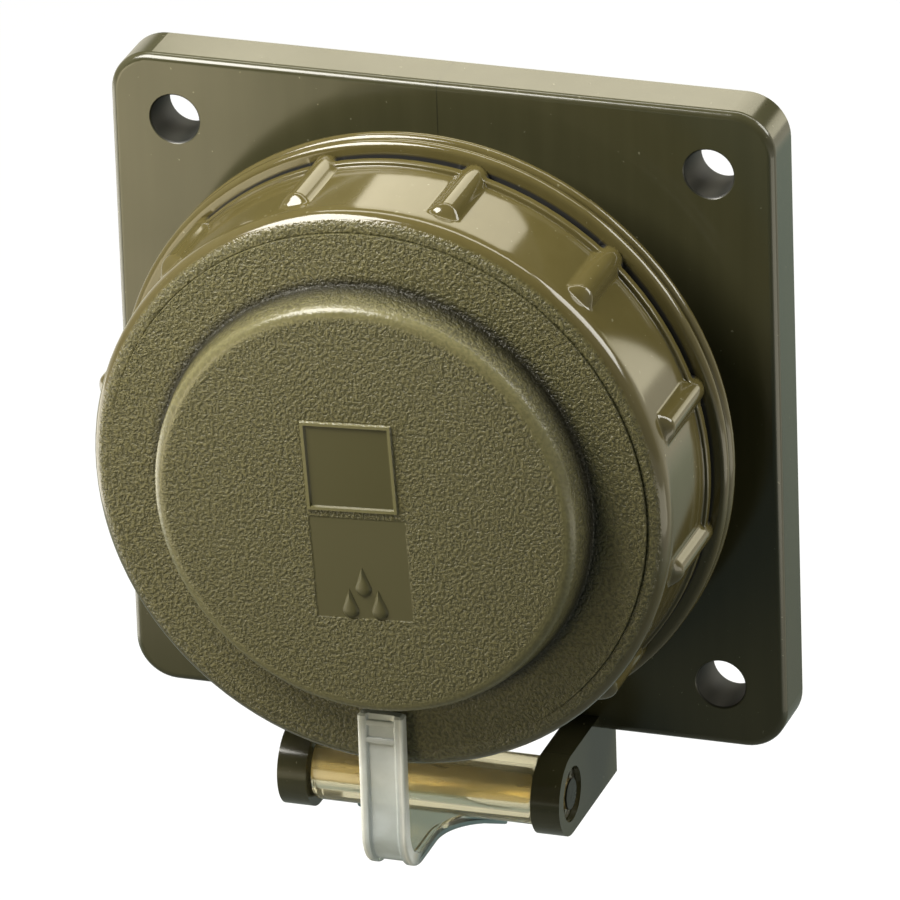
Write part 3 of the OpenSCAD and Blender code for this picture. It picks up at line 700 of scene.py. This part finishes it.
def polish(tree, colour, streak, roughness):
    """Tone, roughness and height of a polished moulding with flow streaks, haze and a few light specks."""
    streaks = noise(tree, 260, detail=3.0, vector=place(tree, stretch=(1.8, 1, 0.1)))
    haze = noise(tree, 45, detail=3.0)
    specks = noise(tree, 1400, detail=1.0)
    tone = mix_colours(tree, remap(tree, streaks, 0.3, 0.7, 0, 0.7), colour, streak)
    tone = mix_colours(tree, remap(tree, specks, 0.75, 0.79, 0, 0.4), tone, LIGHT_SPECK)
    shine = remap(tree, haze, 0.3, 0.7, roughness * 0.8, roughness * 1.25)
    wave = math_node(tree, "ADD", product(tree, streaks, 0.5), haze)
    return tone, shine, wave


def polish_bump(tree, wave):
    return bump(tree, wave, 0.012, 0.5)


def duller(tree, roughness, share, amount):
    """A roughness that is higher by an amount where the share is 1."""
    return math_node(tree, "ADD", roughness, product(tree, share, amount))


def ring_olive():
    """Polished ring with painted shade in its groove, and the lid's grain on its front lip."""
    material, tree, shader = new_material("olive_ring", RING_OLIVE, IOR=1.5)
    tone, shine, wave = polish(tree, RING_OLIVE, RING_STREAK, 0.1)
    forward = places(tree)[1]
    groove_end = GROOVE + GROOVE_W
    # Painted shade: the ring's groove behind the ledge is darkened in colour; it is also made duller.
    shaded_groove = product(tree, band(tree, forward, GROOVE - 0.3, GROOVE - 0.1, groove_end, groove_end + 0.15),
                     remap(tree, off_axis(tree), LEDGE_R - 0.05, LEDGE_R + 0.25, 1, 0))
    lip = remap(tree, forward, RING_FRONT - 0.4, RING_FRONT - 0.1, 0, 1)
    grain = moulding_grain(tree)
    tone = mix_colours(tree, shaded_groove, tone, GROOVE_SHADE)
    tone = mix_colours(tree, lip, tone, grain_tone(tree, grain))
    shine = duller(tree, shine, shaded_groove, 0.6)
    shine = duller(tree, shine, lip, 0.24)
    link(tree, shader, Base_Color=tone, Roughness=shine,
         Normal=bump(tree, product(tree, grain, lip), 0.1, normal=polish_bump(tree, wave)))
    return material


def housing_olive():
    """Polished housing in an olive painted darker than the lid's as painted shade, with a mould seam at the
    top, and dull with painted shade inside its fixing holes.
    """
    material, tree, shader = new_material("olive_housing", HOUSING_OLIVE_SHADED, IOR=1.5)
    # Painted shade: the housing's olive and its streaks are darker than the same plastic of the lid.
    tone, shine, wave = polish(tree, HOUSING_OLIVE_SHADED, HOUSING_STREAK_SHADED, 0.17)
    x, _, up = places(tree)
    offsets = [math_node(tree, "SUBTRACT", math_node(tree, "ABSOLUTE", axis), HOLE_PITCH / 2)
               for axis in (x, up)]
    # Painted shade: the insides of the fixing holes are darkened in colour, and also made duller.
    shaded_bore = remap(tree, length(tree, *offsets), HOLE_R + 0.05, HOLE_R + 0.2, 1, 0)
    seam = product(tree, remap(tree, up, SEAM_UP, SEAM_UP + 1, 0, 0.6),
                   remap(tree, distance(tree, x, SEAM_X), 0.04, 0.12, 1, 0))
    tone = mix_colours(tree, shaded_bore, tone, BORE_SHADE)
    tone = mix_colours(tree, seam, tone, SEAM_DARK)
    link(tree, shader, Base_Color=tone, Roughness=duller(tree, shine, shaded_bore, 0.45),
         Normal=polish_bump(tree, wave))
    return material


def clear_plastic():
    """Clear soft plastic: milky along the tongue with painted highlights on its edges, tinted dark grey-green
    in the run as painted shade seen through it, a little yellow around the pin.
    """
    material, tree, shader = new_material("clear_plastic", CLEAR, IOR=1.49)
    x, forward, up = places(tree)
    tongue = remap(tree, forward, STRAP_FRONT - BEND_R, STRAP_FRONT - STRAP_T, 0, 1)
    run = remap(tree, up, PIN_UP - 3.0, PIN_UP - BARREL_R, 0, 1)
    # Painted highlight: the tongue's edges are lightened in colour and made more milky.
    edge = product(tree, tongue, remap(tree, distance(tree, x), 2.1, 2.6, 0, 1))
    strip = mix_colours(tree, remap(tree, up, STRAP_LOW, TONGUE_TOP, 0, 1), TONGUE_FOOT, TONGUE_HEAD)
    # Painted shade: the run is tinted dark grey-green.
    tone = mix_colours(tree, run, CLEAR_BARREL, CLEAR_RUN_SHADE)
    tone = mix_colours(tree, tongue, tone, strip)
    tone = mix_colours(tree, edge, tone, TONGUE_EDGE_HIGHLIGHT)
    milk_barrel, milk_run, milk_tongue = 0.22, 0.05, 0.75
    milk = highest(tree, remap(tree, run, 0, 1, milk_barrel, milk_run), product(tree, tongue, milk_tongue))
    clouds = remap(tree, noise(tree, 260, detail=3.0), 0.3, 0.7, 0.8, 1.0)
    milk = product(tree, highest(tree, milk, edge), clouds)
    link(tree, shader, Base_Color=tone, Transmission_Weight=opposite(tree, milk),
         Roughness=remap(tree, noise(tree, 700, detail=2.0), 0.3, 0.7, 0.03, 0.12),
         Normal=bump(tree, noise(tree, 500, detail=2.0), 0.02, 0.5))
    return material


def metal(name, colour, tarnish, roughness, stretch, shaded_end=0):
    """Metal with fine marks along one way and a little tarnish, and darkened past a distance to either side as
    painted shade.
    """
    material, tree, shader = new_material(name, colour, Metallic=1.0)
    marks = noise(tree, 900, detail=3.0, vector=place(tree, stretch=stretch))
    patches = noise(tree, 180, detail=3.0)
    tone = mix_colours(tree, remap(tree, patches, 0.4, 0.75, 0, 1), colour, tarnish)
    # Painted shade: the metal is darkened past the given distance to either side.
    if shaded_end:
        end = remap(tree, distance(tree, places(tree)[0]), shaded_end - 0.1, shaded_end, 0, 1)
        tone = mix_colours(tree, end, tone, METAL_END_SHADE)
    link(tree, shader, Base_Color=tone, Normal=bump(tree, marks, 0.02, 0.6),
         Roughness=remap(tree, marks, 0.3, 0.7, roughness * 0.75, roughness * 1.3))
    return material


def matt(name, colour, dusty, roughness, grain_scale, depth):
    """Rubber or satin plastic with a fine grain and some dust."""
    material, tree, shader = new_material(name, colour)
    grain = noise(tree, grain_scale, detail=3.0)
    dust = noise(tree, 120, detail=4.0)
    tone = mix_colours(tree, remap(tree, dust, 0.45, 0.75, 0, 0.6), colour, dusty)
    link(tree, shader, Base_Color=tone, Normal=bump(tree, grain, depth, 0.7),
         Roughness=remap(tree, grain, 0.3, 0.7, roughness - 0.08, roughness + 0.08))
    return material


def dress_nodes(finishes):
    """Gives the solids that stay visible their finish."""
    for part in frame["record"]["subparts"]:
        materials = frame["nodes"][part["node"]].data.materials
        materials.clear()
        materials.append(finishes.get(part["node"]) or finishes[part["material_slot"]])


# Light, floor and camera
def add_lamp(name, position, size, radiance, colour):
    """A soft box that faces the socket. The position, width and height are in metres."""
    lamp = bpy.data.lights.new(name, "AREA")
    lamp.shape = "RECTANGLE"
    lamp.size, lamp.size_y = size
    lamp.energy = radiance * math.pi * size[0] * size[1]
    lamp.color = colour
    obj = bpy.data.objects.new(name, lamp)
    obj.location = position
    obj.rotation_euler = Vector(position).to_track_quat("Z", "Y").to_euler()
    obj.visible_camera = False
    bpy.context.scene.collection.objects.link(obj)


def light_rays(tree):
    """Shares of rays that show the background straight or through clear plastic, and mirrored."""
    path = add_node(tree, "LightPath").outputs
    return highest(tree, path["Is Camera Ray"], path["Is Transmission Ray"]), path["Is Glossy Ray"]


def make_world():
    """White walls low behind the socket and beside it, in a dim room."""
    world = bpy.data.worlds.new("studio")
    bpy.context.scene.world = world
    world.use_nodes = True
    tree = world.node_tree
    background = tree.nodes["Background"]
    direction = add_node(tree, "TexCoord").outputs["Generated"]
    axes = add_node(tree, "SeparateXYZ", {"Vector": direction}).outputs
    behind = product(tree, remap(tree, axes["Y"], 0.2, 0.5, 0, 1), remap(tree, axes["Z"], 0.1, 0.24, 1, 0))
    beside = remap(tree, distance(tree, axes["X"]), 0.55, 0.85, 0, 0.45)
    straight, mirrored = light_rays(tree)
    mirror = product(tree, mirrored, remap(tree, highest(tree, behind, beside), 0, 1, MIRROR_DIM, 1.0))
    strength = highest(tree, highest(tree, straight, mirror), ROOM_LIGHT)
    tint = mix_colours(tree, mirrored, ROOM_COOL, ROOM_WARM)
    tree.links.new(strength, background.inputs["Strength"])
    tree.links.new(mix_colours(tree, straight, tint, WHITE), background.inputs["Color"])


def make_floor():
    """A pale floor that shows white and keeps the shadow. In mirrors it dims under and before the socket."""
    bm = bmesh.new()
    bm.faces.new([bm.verts.new((x * FLOOR_HALF, y * FLOOR_HALF, FLOOR_UP * MM)) for x, y in FOUR_CORNERS])
    floor = add_object("floor", bm)
    material, tree, shader = new_material("floor", FLOOR_GREY, Roughness=0.9, Specular_IOR_Level=0.1)
    axes = add_node(tree, "SeparateXYZ", {"Vector": place(tree)}).outputs
    away = highest(tree, remap(tree, axes["Y"], 0.45, 1.2, 0, 1),
                   remap(tree, distance(tree, axes["X"]), 0.3, 0.45, 0, 1))
    straight, mirrored = light_rays(tree)
    mirror = product(tree, mirrored, remap(tree, away, 0, 1, MIRROR_DIM, 1.0))
    tint = mix_colours(tree, away, FLOOR_COOL, FLOOR_WARM)
    link(tree, shader, Base_Color=mix_colours(tree, noise(tree, 8.0), FLOOR_DULL, FLOOR_CLEAN),
         Emission_Color=mix_colours(tree, straight, tint, WHITE),
         Emission_Strength=product(tree, highest(tree, straight, mirror), FLOOR_GLOW))
    floor.data.materials.append(material)


def make_camera():
    """The camera that was fitted to the photograph's edges."""
    azimuth, elevation, roll = (math.radians(a) for a in (AZIMUTH, ELEVATION, ROLL))
    ahead = Vector((-math.sin(azimuth) * math.cos(elevation), math.cos(azimuth) * math.cos(elevation),
                    -math.sin(elevation)))
    level = ahead.cross(Vector((0, 0, 1))).normalized()
    above = level.cross(ahead)
    right = math.cos(roll) * level + math.sin(roll) * above
    up = math.cos(roll) * above - math.sin(roll) * level
    place_mm = -(right * CAMERA_SHIFT.x - up * CAMERA_SHIFT.y + ahead * CAMERA_SHIFT.z)
    place_mm.y -= FLANGE_FRONT
    data = bpy.data.cameras.new("camera")
    data.sensor_width = SENSOR_W
    data.lens = data.sensor_width * FOCAL_PX / FRAME_PX
    data.clip_start = 0.1
    camera = bpy.data.objects.new("camera", data)
    camera.matrix_world = Matrix((right, up, -ahead)).transposed().to_4x4()
    camera.location = place_mm * MM
    bpy.context.scene.collection.objects.link(camera)
    bpy.context.scene.camera = camera


grain_finish = grained_olive()
clear_finish = clear_plastic()
dress_nodes({
    "olive_gloss": housing_olive(),
    "olive_grain": grain_finish,
    "clear_plastic": clear_finish,
    "dark_plastic": matt("dark_plastic", (0.028, 0.028, 0.029), (0.05, 0.05, 0.048), 0.5, 900, 0.03),
    "rubber": matt("rubber", (0.012, 0.012, 0.012), (0.035, 0.034, 0.031), 0.75, 1200, 0.04),
    "brass": metal("brass", (0.72, 0.52, 0.22), (0.5, 0.34, 0.14), 0.3, (1, 0.2, 1)),
    "steel": metal("plated_steel", (0.7, 0.68, 0.62), (0.5, 0.47, 0.4), 0.28, (1, 1, 1)),
    # Painted shade: the pin is dark at its ends, in the ears' recesses.
    "hinge_pin": metal("gold_plated_pin", (0.88, 0.74, 0.42), (0.72, 0.57, 0.28), 0.32, (0.1, 1, 1),
                       shaded_end=pin_high.x / MM - 0.2),
})
make_ring(ring_olive())
make_lid(grain_finish)
make_strap(clear_finish)

make_world()
make_floor()
make_camera()
for lamp_name, lamp_values in LAMPS.items():
    add_lamp(lamp_name, *lamp_values)
bpy.context.scene.view_settings.view_transform = "Standard"
